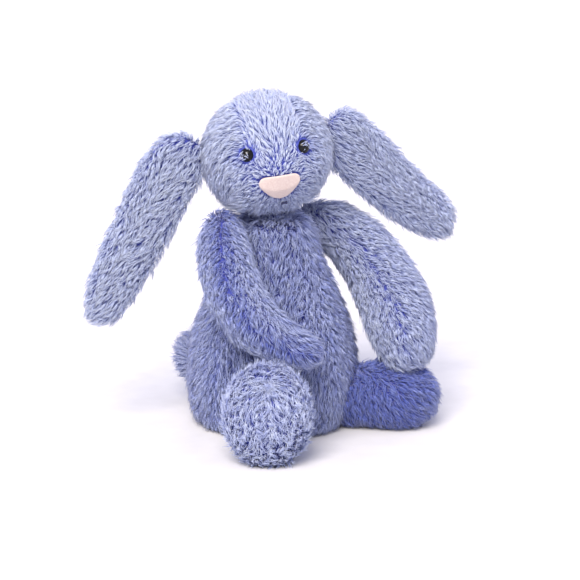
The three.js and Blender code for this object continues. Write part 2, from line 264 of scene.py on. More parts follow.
def relax(mesh, rounds):
    """Smooths a mesh by turns inwards and outwards, which wears off its facets but not its size."""
    points = coordinates(mesh)
    edges = np.array([e.vertices[:] for e in mesh.edges])
    count = np.bincount(edges.ravel(), minlength=len(points))[:, None]
    for step in RELAX_STEPS * rounds:
        total = np.zeros_like(points)
        for a, b in ((0, 1), (1, 0)):
            np.add.at(total, edges[:, a], points[edges[:, b]])
        points = points + step * (total / count - points)
    mesh.vertices.foreach_set("co", points.ravel())
    mesh.update()


def fuse(name, nodes, filled_to=0.0):
    """One closed skin round the CAD nodes of a body. The slots between them close up. Below a height,
    the nodes' own hull fills them, as the pellets fill a seat that the frame leaves hollow."""
    work = bmesh.new()
    for node in nodes:
        work.from_mesh(frame["nodes"][node].data)
    if filled_to:
        hull = bmesh.new()
        for place in {tuple(v.co) for v in work.verts if v.co.z < filled_to}:
            hull.verts.new(place)
        bmesh.ops.convex_hull(hull, input=hull.verts)
        loose = [v for v in hull.verts if not v.link_faces]
        bmesh.ops.delete(hull, geom=loose, context="VERTS")
        filler = bpy.data.meshes.new("filler")
        hull.to_mesh(filler)
        hull.free()
        work.from_mesh(filler)
    mesh = bpy.data.meshes.new(name)
    work.to_mesh(mesh)
    work.free()
    ob = bpy.data.objects.new(name, mesh)
    bpy.context.scene.collection.objects.link(ob)
    remesh = ob.modifiers.new("fuse", "REMESH")
    remesh.mode = "VOXEL"
    remesh.voxel_size = VOXEL
    apply_modifiers(ob)
    keep_outside(ob.data)
    relax(ob.data, RELAX_ROUNDS)
    even = ob.modifiers.new("even", "REMESH")
    even.mode = "VOXEL"
    even.voxel_size = SKIN_STEP
    apply_modifiers(ob)
    keep_outside(ob.data)
    return ob


# %% Stuff a skin by cloth simulation
SEAM_HOLD = 1.4 * MM  # the skin this close to a seam is held by its stitches
GROUND_HOLD = 1.0 * MM  # and so is what rests on the ground
GROUND_GAP = 0.1 * MM
FILL_FRAMES = 12
FILL_PRESSURE = 4.0
CLOTH_MASS = 0.15  # kilograms on a square metre, a light knit
CLOTH_STIFFNESS = 15  # knit gives more than a woven cloth
CLOTH_BEND = 0.5
PUFF_CAP = 1.6 * MM  # no place moves further out than this


def seam_distance(points, panels):
    """How far each point on a cover is from the nearest seam: its distance to the second nearest panel."""
    to_panels = np.array([nearest(tree_of([p]), points)[1] for p in panels])
    return np.sort(to_panels, axis=0)[1]


def stuff(ob, panels):
    """Fills a skin from inside for a few frames of cloth simulation, with its seams held."""
    before = coordinates(ob.data)
    seams = seam_distance(before, panels)
    held = ob.vertex_groups.new(name="stitches")
    for index in np.flatnonzero((seams < SEAM_HOLD) | (before[:, 2] < GROUND_HOLD)):
        held.add([int(index)], 1.0, "REPLACE")
    cloth = ob.modifiers.new("stuffing", "CLOTH")
    cloth.settings.quality = 5
    cloth.settings.mass = CLOTH_MASS
    cloth.settings.tension_stiffness = CLOTH_STIFFNESS
    cloth.settings.compression_stiffness = CLOTH_STIFFNESS
    cloth.settings.bending_stiffness = CLOTH_BEND
    cloth.settings.use_pressure = True
    cloth.settings.uniform_pressure_force = FILL_PRESSURE
    cloth.settings.vertex_group_mass = held.name
    cloth.settings.effector_weights.gravity = 0
    cloth.point_cache.frame_start = 1
    cloth.point_cache.frame_end = FILL_FRAMES
    for number in range(1, FILL_FRAMES + 1):
        bpy.context.scene.frame_set(number)
    apply_modifiers(ob)
    after = coordinates(ob.data)
    moved = after - before
    size = np.linalg.norm(moved, axis=1, keepdims=True)
    moved *= np.minimum(1, PUFF_CAP / np.maximum(size, 1e-9))
    final = before + moved
    final[:, 2] = np.maximum(final[:, 2], GROUND_GAP)
    ob.data.vertices.foreach_set("co", final.ravel())
    ob.vertex_groups.clear()
    bpy.context.scene.frame_set(1)
    return float(size.max())


# %% Make the nine covers
def panels_of(body):
    """The CAD nodes of a body that are panels of plush."""
    return [n for n in members[body] if n.endswith("_panel") or "_panel_" in n]


SEAT_FILL = 34 * MM  # the torso is filled out up to here
COVERED = ["torso", "head", "ear_left", "ear_right", "arm_left", "arm_right"]
COVERED += ["leg_left", "leg_right", "tail"]
skins = {}
for body in COVERED:
    soft = [n for n in members[body] if n not in ("nose_patch", "mouth_stitch")]
    skin = fuse(body + "_cover", soft, SEAT_FILL if body == "torso" else 0.0)
    puff = stuff(skin, panels_of(body))
    skin.data.shade_smooth()
    skins[body] = skin
    area = sum(p.area for p in skin.data.polygons) / MM**2
    print(f"{body}: {len(skin.data.vertices)} vertices, {area:.0f} mm2, puffed {puff / MM:.2f} mm")


# %% [markdown]
# ## Combing
#
# Pile on a sewn toy lies in one direction on each bag, away from where the maker starts to brush it: down
# from the neck on the torso, from root to tip on an ear or a limb, and away from the nose on the face.
# The way to walk fastest away from a point on a surface gives exactly those lines. So each cover gets the
# distance along its own surface from a starting point, and the pile follows the slope of that distance.
# Three things then turn it: a seam, where the pile of both panels parts, an eye, which presses it aside,
# and the side of the face, where it falls off the nose panel and down the cheek.

# %% Distance along a surface and its slope
DISTANCE_ROUNDS = 6  # of smoothing, so that the mesh's own edges don't show in the comb
FLOW_ROUNDS = 4


def neighbours(mesh):
    """The vertices that each vertex is joined to by an edge."""
    linked = [[] for _ in mesh.vertices]
    for edge in mesh.edges:
        a, b = edge.vertices
        linked[a].append(b)
        linked[b].append(a)
    return linked


def combed(mesh, start):
    """A unit direction for each vertex, along the surface and away from the start point."""
    points = coordinates(mesh)
    linked = neighbours(mesh)
    distance = np.full(len(points), np.inf)
    seed = int(np.argmin(np.linalg.norm(points - np.array(start), axis=1)))
    distance[seed] = 0
    queue = [(0.0, seed)]
    while queue:
        so_far, here = heapq.heappop(queue)
        if so_far > distance[here]:
            continue
        for there in linked[here]:
            step = so_far + float(np.linalg.norm(points[there] - points[here]))
            if step < distance[there]:
                distance[there] = step
                heapq.heappush(queue, (step, there))
    edges = np.array([e.vertices[:] for e in mesh.edges])
    for _ in range(DISTANCE_ROUNDS):
        total = np.zeros(len(points))
        count = np.zeros(len(points))
        for a, b in ((0, 1), (1, 0)):
            np.add.at(total, edges[:, a], distance[edges[:, b]])
            np.add.at(count, edges[:, a], 1)
        distance = 0.5 * distance + 0.5 * total / count
    along = points[edges[:, 1]] - points[edges[:, 0]]
    rise = (distance[edges[:, 1]] - distance[edges[:, 0]])[:, None]
    slope = along * rise / np.sum(along**2, axis=1, keepdims=True)
    flow = np.zeros_like(points)
    for a in (0, 1):
        np.add.at(flow, edges[:, a], slope)
    for _ in range(FLOW_ROUNDS):
        mixed = flow.copy()
        for a, b in ((0, 1), (1, 0)):
            np.add.at(mixed, edges[:, a], 0.25 * flow[edges[:, b]])
        flow = mixed / np.maximum(np.linalg.norm(mixed, axis=1, keepdims=True), 1e-9)
    return flow


# %% [markdown]
# ## Pile
#
# Plush pile is thousands of fine polyester fibres, a few millimetres long, that cling together in tufts.
# Hair particles would draw it fastest, but a part has to leave Blender as real surfaces. So each visible
# strand is a thin closed spike of mesh with three sides, and it stands for a lock of fibres. Two kinds
# grow together: long guard strands with a bend, which gather into tufts, and short straight ones between
# them that close the view down to the cloth. Each tuft has its own direction, length and shade.

# %% Points on a cover, and what is near them
rng = np.random.default_rng(11)  # one seed for every draw, so that the pile is the same each time


def unit(v):
    """Each row as a unit vector."""
    return v / np.maximum(np.linalg.norm(v, axis=1, keepdims=True), 1e-12)


def flatten(v, normal):
    """The part of each direction that lies in the surface, as a unit vector."""
    return unit(v - normal * np.sum(v * normal, axis=1, keepdims=True))


def scatter(mesh, flow, density):
    """Evenly spread points on a mesh, with their normals and combed directions."""
    mesh.calc_loop_triangles()
    triangles = np.array([t.vertices[:] for t in mesh.loop_triangles])
    points = coordinates(mesh)
    normals = np.array([v.normal[:] for v in mesh.vertices])
    a, b, c = (points[triangles[:, i]] for i in range(3))
    areas = 0.5 * np.linalg.norm(np.cross(b - a, c - a), axis=1) / MM**2
    total = np.cumsum(areas)
    count = int(total[-1] * density)
    picks = np.searchsorted(total, (np.arange(count) + rng.random(count)) / count * total[-1])
    picks = np.minimum(picks, len(triangles) - 1)
    u, v = rng.random(count), rng.random(count)
    over = u + v > 1
    u[over], v[over] = 1 - u[over], 1 - v[over]
    weights = np.stack([1 - u - v, u, v], axis=1)[:, :, None]
    corners = triangles[picks]
    at = np.sum(points[corners] * weights, axis=1)
    normal = unit(np.sum(normals[corners] * weights, axis=1))
    along = flatten(np.sum(flow[corners] * weights, axis=1), normal)
    return at, normal, along


def panels_near(points, panels):
    """Each point's own panel, its distance from the nearest seam, and the way leading off that seam."""
    found = [nearest(tree_of([p]), points) for p in panels]
    places = np.array([f[0] for f in found])
    reaches = np.array([f[1] for f in found])
    order = np.argsort(reaches, axis=0)
    each = np.arange(len(points))
    return order[0], reaches[order[1], each], points - places[order[1], each]


# %% Grow strands
UP_ROOT = math.radians(58)  # how steeply a strand leaves the cloth
UP_TIP = math.radians(12)  # how steeply its outer half lies
GUARD_WIDTH = 0.34 * MM
SHORT_WIDTH = 0.42 * MM
SHORT_SHARE = 0.45  # of all strands, the short straight ones
SHORT_SHAPE = 0.62  # their length, against a guard strand's
CLUSTER = 5  # strands that share a tuft
BEND_AT = 0.42  # of a strand's length, where it bends over
BEYOND_BEND = 0.62  # of its length, from the bend to the tip
BEND_GATHER = 0.2  # how far a bend, and then a tip, leans to the one in the middle of its tuft
TIP_GATHER = 0.34
ROOT_SINK = 0.35 * MM  # a strand starts this far under the cloth
TURN_SPREAD = (0.26, 0.14)  # radians, between tufts and then between the strands of one
LIFT_SPREAD = (0.12, 0.1)
DYE_SPREAD = (0.11, 0.06)
TUFT_LENGTHS = (0.82, 1.18)
STRAND_LENGTHS = (0.8, 1.12)


def strands(at, normal, along, length, shade, loose):
    """The bend and tip of each strand, and its dye with the painted light and shade added. Loose pile strays more
    from its comb.
    Each tuft is turned, lifted, lengthened and shaded by chance, and each strand in it a little more."""
    count = len(at)
    tufts = max(1, count // CLUSTER)
    heads = rng.permutation(count)[:tufts]
    tree = KDTree(tufts)
    for i, j in enumerate(heads):
        tree.insert(Vector(at[j]), i)
    tree.balance()
    tuft = np.array([tree.find(Vector(p))[1] for p in at])
    turn = (rng.normal(0, TURN_SPREAD[0], tufts)[tuft] + rng.normal(0, TURN_SPREAD[1], count)) * loose
    lift = rng.normal(0, LIFT_SPREAD[0], tufts)[tuft] + rng.normal(0, LIFT_SPREAD[1], count)
    grown = length * rng.uniform(*TUFT_LENGTHS, tufts)[tuft] * rng.uniform(*STRAND_LENGTHS, count)
    dye = shade + rng.normal(0, DYE_SPREAD[0], tufts)[tuft] + rng.normal(0, DYE_SPREAD[1], count)
    across = np.cross(normal, along)
    lie = along * np.cos(turn)[:, None] + across * np.sin(turn)[:, None]
    first = UP_ROOT + lift
    last = UP_TIP + lift * 0.8
    rising = normal * np.sin(first)[:, None] + lie * np.cos(first)[:, None]
    lying = normal * np.sin(last)[:, None] + lie * np.cos(last)[:, None]
    bend = at + BEND_AT * grown[:, None] * rising
    tip = bend + BEYOND_BEND * grown[:, None] * lying
    bend += BEND_GATHER * (bend[heads][tuft] - bend)
    tip += TIP_GATHER * (tip[heads][tuft] - tip)
    return bend, tip, np.clip(dye, 0.02, 0.98)


PILE_MAP = "OFBake"  # across it lies a strand's dye and painted light, and up it the way from root to tip
# Up the map lies painted shade at the root and painted light at the tip, so a short strand's lower tip is darker.
ROOT_UP, BEND_UP, TIP_UP, SHORT_UP = 0.02, 0.5, 0.98, 0.7  # how far up the map each part lies
MAP_SLIP = 0.003  # a strand's corners lie this far apart on the map, so that its faces have an area there
BEND_TAPER = 0.85  # of its root's width
GROUND_SKIM = 0.05 * MM  # no strand dips below this


def spike_block(root, normal, tip, dye, width, bend=None):
    """The vertices, faces and map places of closed three-sided spikes, with or without a bend."""
    count = len(root)
    span = unit(tip - root)
    side = unit(np.cross(span, rng.normal(size=(count, 3))))
    other = np.cross(span, side)
    rings = 1 if bend is None else 2
    size = rings * 3 + 1
    places = np.empty((count, size, 3))
    for k in range(3):
        angle = k * 2 * math.pi / 3
        out = (side * math.cos(angle) + other * math.sin(angle)) * width / 2
        places[:, k] = root - normal * ROOT_SINK + out
        if bend is not None:
            places[:, 3 + k] = bend + out * BEND_TAPER
    places[:, -1] = tip
    places[:, :, 2] = np.maximum(places[:, :, 2], GROUND_SKIM)
    faces = [(0, 2, 1)]
    for k in range(3):
        n = (k + 1) % 3
        for r in range(0, rings * 3 - 3, 3):
            faces += [(r + k, r + n, r + 3 + n), (r + k, r + 3 + n, r + 3 + k)]
        top = rings * 3 - 3
        faces.append((top + k, top + n, size - 1))
    loops = (np.array(faces)[None] + size * np.arange(count)[:, None, None]).reshape(-1)
    height = np.array([ROOT_UP] * 3 + [BEND_UP] * 3 * (rings - 1) + [TIP_UP if rings == 2 else SHORT_UP])
    slip = np.array([-1, 0, 1] * rings + [0]) * MAP_SLIP
    uv = np.stack([dye[:, None] + slip[None], np.tile(height, (count, 1))], axis=2)
    return places.reshape(-1, 3), loops, uv.reshape(-1, 2)


def mesh_piece(name, blocks):
    """One object from blocks of spikes."""
    places = np.concatenate([b[0] for b in blocks])
    starts = np.cumsum([0] + [len(b[0]) for b in blocks[:-1]])
    loops = np.concatenate([b[1] + start for b, start in zip(blocks, starts)])
    uv = np.concatenate([b[2] for b in blocks])
    mesh = bpy.data.meshes.new(name)
    mesh.vertices.add(len(places))
    mesh.vertices.foreach_set("co", places.ravel())
    mesh.loops.add(len(loops))
    mesh.loops.foreach_set("vertex_index", loops)
    mesh.polygons.add(len(loops) // 3)
    mesh.polygons.foreach_set("loop_start", np.arange(0, len(loops), 3))
    mesh.update(calc_edges=True)
    layer = mesh.uv_layers.new(name=PILE_MAP)
    layer.data.foreach_set("uv", uv[loops].ravel())
    mesh.shade_smooth()
    ob = bpy.data.objects.new(name, mesh)
    bpy.context.scene.collection.objects.link(ob)
    return ob


# %% [markdown]
# ### The pile's finish
#
# Polyester pile is dyed through, but it never looks one colour. Light that gets down between the strands
# comes back darker and bluer, and the tips catch the light and look almost white. That shade and light are
# painted into each strand's colour: it runs from a deep blue at the cloth, painted shade, to a much paler
# blue at its tip, painted light. Each tuft took the dye a little differently, and each bag's pile is painted
# paler where the lamp falls and darker where shade falls, with painted shade in a seam's parting and round
# an eye. The map that the strands carry holds both: one way across it is the dye with that painted light and
# shade, the other is the height. The fibre is drawn plastic with an IOR of 1.54 across it, and a soft sheen.
# The cloth under it is a fine knit, dull and dark, and only shows where the pile parts.

# %% Pile material
pile_material, tree, surface = new_material("polyester_pile")
places = add_node(tree, "UVMap", {"uv_map": PILE_MAP})
parts = add_node(tree, "SeparateXYZ", _0=places.outputs["UV"])
height = parts.outputs["Y"]
# Up the map, both ramps run from painted shade at the root to painted light at the tip. The deep ramp is the
# pile's shaded copy and the pale ramp its lit copy, and across the map the dye and painted light mix them.
deep = ramp(tree, height, [(0.0, 0x182C8A), (0.4, 0x384CA6), (0.8, 0x6072C0), (1.0, 0x8694CE)])
pale = ramp(tree, height, [(0.0, 0x7E90CE), (0.4, 0xAFBCDF), (0.8, 0xD2DBEA), (1.0, 0xE5ECF2)])
dyed_and_painted = add_node(tree, "Mix", {"data_type": "RGBA"}, _0=parts.outputs["X"], _6=deep, _7=pale)
shader = add_node(
    tree,
    "BsdfPrincipled",
    Base_Color=dyed_and_painted.outputs[2],
    Roughness=0.62,
    IOR=1.54,
    Sheen_Weight=0.5,
    Sheen_Roughness=0.45,
)
shader.inputs["Sheen Tint"].default_value = linear(0xE4E6FF)
tree.links.new(shader.outputs["BSDF"], surface)

cloth_material, tree, surface = new_material("knitted_polyester_backing")
where = add_node(tree, "TexCoord")
loops_of_yarn = add_node(tree, "TexVoronoi", _0=where.outputs["Object"], Scale=1 / (0.8 * MM))
yarn = ramp(tree, loops_of_yarn.outputs["Distance"], [(0.0, 0x4A55A6), (0.6, 0x343E90), (1.0, 0x262F78)])
relief = add_node(tree, "Bump", Height=loops_of_yarn.outputs["Distance"], Strength=0.4, Distance=0.3 * MM)
shader = add_node(tree, "BsdfPrincipled", Base_Color=yarn, Roughness=0.85, Normal=relief.outputs["Normal"])
tree.links.new(shader.outputs["BSDF"], surface)

# %% Where the combing starts, how long each bag's pile is, and its painted light and shade
def middle(*nodes):
    """The middle of some CAD nodes' boxes together."""
    boxes = [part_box(n) for n in nodes]
    low = np.min([np.array(b[0]) for b in boxes], axis=0)
    high = np.max([np.array(b[1]) for b in boxes], axis=0)
    return (low + high) / 2


joint_at = {j["child"]: np.array(j["pos_m"]) for j in frame["joints"]}
starts = {b: joint_at[b] for b in COVERED if b in joint_at}
starts["torso"] = joint_at["neck"]
starts["head"] = middle("nose_patch")
for arm in ("arm_left", "arm_right"):
    starts[arm] = joint_at[arm] + np.array([0, 14 * MM, 8 * MM])  # behind the shoulder, out of sight

DENSITY = 3.8  # strands on each square millimetre
PLAIN_LENGTH = 6.0  # millimetres, on the arms and legs
TORSO_DENSITY = 3.2  # its two panels are the largest, and each piece is kept under 200,000 faces
PILE_LENGTH = {"torso": 6.4, "head": 5.2, "ear_left": 5.6, "ear_right": 5.6, "tail": 7.0}  # millimetres
COLLAR_FROM, COLLAR_TO = 78, 86  # millimetres up the torso, where its pile grows longer towards the neck
SOLE_FROM, SOLE_TO = 62, 70  # millimetres from the torso's axis, where a leg's pile turns into its sole's
# Each bag's painted light and shade: the pile is painted paler where the lamp falls, as on the head and ears, and
# darkest on the far leg, in the shade of the arm and body.
BAG_PAINTED_LIGHT_AND_SHADE = {"head": 0.98, "ear_left": 0.92, "ear_right": 0.92, "torso": 0.46, "tail": 0.6}
BAG_PAINTED_LIGHT_AND_SHADE |= {"arm_left": 0.72, "arm_right": 0.56, "leg_left": 0.0, "leg_right": 0.52}
PLAIN_REACH = 2.6 * MM  # how far from a seam its parting shows
SEAM_REACH = {"arm_right": 4.2 * MM, "head": 2.0 * MM}
PLAIN_PAINTED_SHADE = 0.05  # how much painted shade darkens the pile in a parting
SEAM_PAINTED_SHADE = {"arm_right": 0.36, "arm_left": 0.06, "leg_right": 0.06, "head": 0.0}
PLAIN_PUSH = 0.2  # how strongly a seam turns the pile aside, against its own comb
SEAM_PUSH = {"arm_right": 0.45}
SEAM_SHORTENS = 0.12
SEAM_CHANCE = (0.3, 1.7)  # the painted shade of a parting comes and goes between these
COLLAR_EXTRA = 0.3
SOLE_LOOSE = 0.6  # a sole is handled and rubbed most, so its pile strays
# painted light towards a sole, the end of the leg that reaches out into the lamp's light
SOLE_PAINTED_LIGHT = {"leg_left": 0.34, "leg_right": 0.14}
GROUND_CLEAR = 0.6 * MM  # no strand is rooted lower than this

nose_tree = tree_of(["nose_patch"])
mouth_tree = tree_of(["mouth_stitch"])
eye_trees = [tree_of([n]) for n in ("eye_left", "eye_right")]
head_left = middle("eye_left") - middle("eye_right")
head_left /= np.linalg.norm(head_left)
face_middle = middle("nose_patch")


BRIDGE, CHEEK = 10, 14  # millimetres: half the nose panel, and the cheek's breadth beyond it
NOSE_FADE = 15 * MM  # the pile is at its full length this far from the nose
CHIN_DROP = 10 * MM  # and at its longest this far below it
MOUTH_CLEAR = 9 * MM
PAD_CLEAR = 0.5 * MM  # bare cloth round the nose and the mouth's stitch
EYE_PRESS = 3.0 * MM  # an eye pushes the pile aside this far out
EYE_CLEAR = 0.45 * MM
NOSE_SHARE = 0.46  # of its full length, at the nose
CHIN_EXTRA = 0.5
EYE_TURN = 1.2  # how strongly the pile turns away from an eye, against its own comb
EYE_SHORTENS = 0.4
EYE_PAINTED_SHADE = 0.18


def dress_head(at, normal, along, length, shade, owner, panels):
    """The face: short pile round the nose, longer under the chin, and hollows at the eyes, with painted shade
    in them. The pile of the side panels falls sideways off the nose panel, and then down the cheeks."""
    beside = (at - face_middle) @ head_left
    is_side = np.array(["side" in p for p in panels])[owner][:, None]
    fall = np.clip((np.abs(beside) / MM - BRIDGE) / CHEEK, 0, 1)[:, None]
    sideways = np.sign(beside)[:, None] * head_left[None] * (1.15 - fall)
    cheek = flatten(sideways + np.array([0, 0, -1]) * (0.35 + 1.1 * fall), normal)
    along = np.where(is_side, flatten(0.25 * along + cheek, normal), along)
    to_nose = nearest(nose_tree, at)[1]
    to_mouth = nearest(mouth_tree, at)[1]
    keep = (to_nose > PAD_CLEAR) & (to_mouth > PAD_CLEAR)
    grown = np.clip(to_nose / NOSE_FADE, 0, 1)
    length = length * (NOSE_SHARE + (1 - NOSE_SHARE) * grown)
    under = np.clip((face_middle[2] - at[:, 2]) / CHIN_DROP, 0, 1) * np.clip(to_mouth / MOUTH_CLEAR, 0, 1)
    length = length * (1 + CHIN_EXTRA * under)
    for tree in eye_trees:
        places, reach = nearest(tree, at)
        press = np.exp(-((reach / EYE_PRESS) ** 2))[:, None]
        along = flatten(along + EYE_TURN * press * unit(at - places), normal)
        length = length * (1 - EYE_SHORTENS * press[:, 0])
        # Painted shade in the hollow that the eye presses into the pile.
        shade = shade - EYE_PAINTED_SHADE * press[:, 0]
        keep &= reach > EYE_CLEAR
    return along, length, shade, keep


# %% Comb and grow the pile of every cover
for body in COVERED:
    skin = skins[body]
    panels = panels_of(body)
    flow = combed(skin.data, starts[body])
    at, normal, along = scatter(skin.data, flow, TORSO_DENSITY if body == "torso" else DENSITY)
    count = len(at)
    length = np.full(count, PILE_LENGTH.get(body, PLAIN_LENGTH) * MM)
    shade = np.full(count, BAG_PAINTED_LIGHT_AND_SHADE[body])
    loose = np.full(count, 1.0)
    keep = at[:, 2] > GROUND_CLEAR
    owner, seam, off_seam = panels_near(at, panels)
    keep &= np.array(["base" not in p for p in panels])[owner]
    parting = np.exp(-((seam / SEAM_REACH.get(body, PLAIN_REACH)) ** 2))
    pushed = SEAM_PUSH.get(body, PLAIN_PUSH)
    along = flatten(along + pushed * parting[:, None] * flatten(off_seam, normal), normal)
    length *= 1 - SEAM_SHORTENS * parting
    # Painted shade in a seam's parting, where the pile opens.
    shade -= SEAM_PAINTED_SHADE.get(body, PLAIN_PAINTED_SHADE) * parting * rng.uniform(*SEAM_CHANCE, count)
    if body == "head":
        along, length, shade, kept = dress_head(at, normal, along, length, shade, owner, panels)
        keep &= kept
    if body == "torso":
        collar = np.clip((at[:, 2] / MM - COLLAR_FROM) / (COLLAR_TO - COLLAR_FROM), 0, 1)
        length *= 1 + COLLAR_EXTRA * collar
    if body.startswith("leg"):
        out = np.linalg.norm(at[:, :2], axis=1) / MM
        sole = np.clip((out - SOLE_FROM) / (SOLE_TO - SOLE_FROM), 0, 1)
        loose += SOLE_LOOSE * sole
        # Painted light on the sole, where the foot comes out of the shade of the arm and body.
        shade += SOLE_PAINTED_LIGHT[body] * sole
    at, normal, along, length, shade, loose, owner = (
        x[keep] for x in (at, normal, along, length, shade, loose, owner)
    )
    bend, tip, dye = strands(at, normal, along, length, shade, loose)
    is_short = rng.random(len(at)) < SHORT_SHARE
    for index, panel in enumerate(panels):
        guard = (owner == index) & ~is_short
        short = (owner == index) & is_short
        if not guard.any():
            continue
        low_tip = at + SHORT_SHAPE * (tip - at)
        blocks = [
            spike_block(at[guard], normal[guard], tip[guard], dye[guard], GUARD_WIDTH, bend[guard]),
            spike_block(at[short], normal[short], low_tip[short], dye[short], SHORT_WIDTH),
        ]
        pile = mesh_piece(panel.replace("_panel", "") + "_pile", blocks)
        pile.data.materials.append(pile_material)
        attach(pile, body)
        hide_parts(panel)
        print(f"{pile.name}: {len(pile.data.polygons)} faces")
    skin.data.materials.append(cloth_material)
    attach(skin, body)
    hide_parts(*[n for n in members[body] if n.endswith("_stuffing") or n == "pellet_pouch"])


# %% [markdown]
# ## Safety eyes
#
# A safety eye is a moulded acrylic bead on a ribbed stem. The stem goes through the cloth before stuffing,
# and a nylon washer pressed onto it inside locks it for good. The bead sinks into the pile, so only its
# middle shows, as a small black gloss. Both pieces are round, so a profile
# turned about the stem makes each, along the axis that the frame's eye and washer already share. Acrylic
# is glossy because its mould is polished, with an IOR of 1.49. Handling dulls it, so its reflection is
# turned down a little. A moulded nylon washer is duller still.

# %% Turn a profile about an axis
def turned(name, body, node, material, origin, axis, profile, steps=40):
    """A closed piece of revolution that replaces a CAD node. The profile is (radius, height) in metres,
    from axis to axis, or a ring's own closed outline."""
    spin = Vector(axis).to_track_quat("Z", "Y")
    work = bmesh.new()
    rings = []
    for radius, height in profile:
        if radius == 0:
            rings.append([work.verts.new(Vector(origin) + spin @ Vector((0, 0, height)))] * steps)
            continue
        angles = [2 * math.pi * k / steps for k in range(steps)]
        places = [spin @ Vector((radius * math.cos(a), radius * math.sin(a), height)) for a in angles]
        rings.append([work.verts.new(Vector(origin) + p) for p in places])
    for lower, upper in zip(rings, rings[1:]):
        for k in range(steps):
            n = (k + 1) % steps
            corners = list(dict.fromkeys([lower[k], lower[n], upper[n], upper[k]]))
            if len(corners) > 2:
                work.faces.new(corners)
    if profile[0] == profile[-1]:
        bmesh.ops.remove_doubles(work, verts=work.verts, dist=1e-7)
    bmesh.ops.recalc_face_normals(work, faces=work.faces)
    mesh = bpy.data.meshes.new(name)
    work.to_mesh(mesh)
    work.free()
    mesh.shade_smooth()
    mesh.materials.append(material)
    ob = bpy.data.objects.new(name, mesh)
    bpy.context.scene.collection.objects.link(ob)
    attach(ob, body)
    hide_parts(node)


# %% Bead and washer materials
bead_material, tree, surface = new_material("black_acrylic_bead")
where = add_node(tree, "TexCoord")
cloudy = add_node(tree, "TexNoise", _0=where.outputs["Object"], Scale=1 / (1.5 * MM))
black = ramp(tree, cloudy.outputs["Fac"], [(0.3, 0x040405), (0.7, 0x09090B)])
gloss = {"Roughness": 0.16, "IOR": 1.49, "Specular_IOR_Level": 0.3}
shader = add_node(tree, "BsdfPrincipled", Base_Color=black, **gloss)
tree.links.new(shader.outputs["BSDF"], surface)

nylon_material, tree, surface = new_material("natural_nylon")
where = add_node(tree, "TexCoord")
cloudy = add_node(tree, "TexNoise", _0=where.outputs["Object"], Scale=1 / (2.0 * MM))
natural = ramp(tree, cloudy.outputs["Fac"], [(0.3, 0xE4E2D9), (0.7, 0xF1EFE8)])
shader = add_node(tree, "BsdfPrincipled", Base_Color=natural, Roughness=0.42, IOR=1.53)
tree.links.new(shader.outputs["BSDF"], surface)

# %% Make the eyes
DOME_ARC = (-0.3, 1.5)  # radians up from the bead's widest ring
DOME_STEPS = 14
STEM = 1.2 * MM  # the radius of a bead's stem
HOLE = 1.6 * MM  # and of the hole that it goes through in its washer


def along_and_off(points, start, axis):
    """How far each point lies along an axis from a start, and how far off that axis."""
    along_axis = (points - start) @ axis
    return along_axis, np.linalg.norm(points - start - along_axis[:, None] * axis, axis=1)


for side in ("left", "right"):
    bead = coordinates(frame["nodes"]["eye_" + side].data)
    washer = coordinates(frame["nodes"]["eye_washer_" + side].data)
    hub = washer.mean(axis=0)
    flat = np.linalg.eigh(np.cov((washer - hub).T))[1][:, 0]  # the way in which a washer is thinnest
    axis = flat * np.sign(flat @ (bead.mean(axis=0) - hub))
    up, out = along_and_off(bead, hub, axis)
    washer_up, washer_out = along_and_off(washer, hub, axis)
    radius, front, back = out.max(), up.max(), up.min()
    angles = np.linspace(*DOME_ARC, DOME_STEPS)
    dome = [(radius * math.cos(a), front - radius + radius * math.sin(a)) for a in angles]
    profile = [(0, back), (STEM, back), (STEM, dome[0][1]), (dome[0][0] * 0.9, dome[0][1])]
    profile += dome + [(0, front)]
    turned(f"eye_{side}_bead", "head", f"eye_{side}", bead_material, hub, axis, profile)
    rim, thick = washer_out.max(), washer_up.max()
    ring = [(HOLE, -thick), (rim * 0.92, -thick), (rim, -thick * 0.4), (rim, thick * 0.4)]
    ring += [(rim * 0.9, thick), (HOLE * 1.5, thick), (HOLE, thick * 0.7), (HOLE, -thick)]
    name = f"eye_{side}_washer"
    turned(name, "head", f"eye_washer_{side}", nylon_material, hub, axis, ring)
    print(f"eye {side}: bead radius {radius / MM:.2f} mm, washer radius {rim / MM:.2f} mm")


# %% [markdown]
# ## Nose pad, mouth thread and neck
#
# The nose is a pad of suedette, a knit brushed until it has a very short nap, cut with a flat top and a
# round bottom, its edge turned under and stitched on over the pile. The pad is the frame's own shape,
# rounded off. Its nap is too short to see as strands, so a fine mottle and a bump stand for it, and the
# sheen is the soft edge that brushed fibre has. The mouth is one stitch of two-ply cotton, mercerised in
# lye, which leaves a slight gloss, and its plies are two curves wound round the frame's own stitch. The
# neck is where the torso's top edge is gathered on a drawstring. Its pleats are a ring that swells and
# sinks, and a short collar of pile grows on them, so that no gap shows under the chin.

# %% Nose pad
suedette, tree, surface = new_material("pink_suedette")
where = add_node(tree, "TexCoord")
nap = add_node(tree, "TexNoise", _0=where.outputs["Object"], Scale=1 / (0.5 * MM), Detail=4.0)
blush = ramp(tree, nap.outputs["Fac"], [(0.25, 0xC0ABA4), (0.5, 0xC9B7AF), (0.75, 0xD1C3BB)])
relief = add_node(tree, "Bump", Height=nap.outputs["Fac"], Strength=0.5, Distance=0.25 * MM)
shader = add_node(
    tree,
    "BsdfPrincipled",
    Base_Color=blush,
    Roughness=0.8,
    Sheen_Weight=0.4,
    Normal=relief.outputs["Normal"],
)
tree.links.new(shader.outputs["BSDF"], surface)


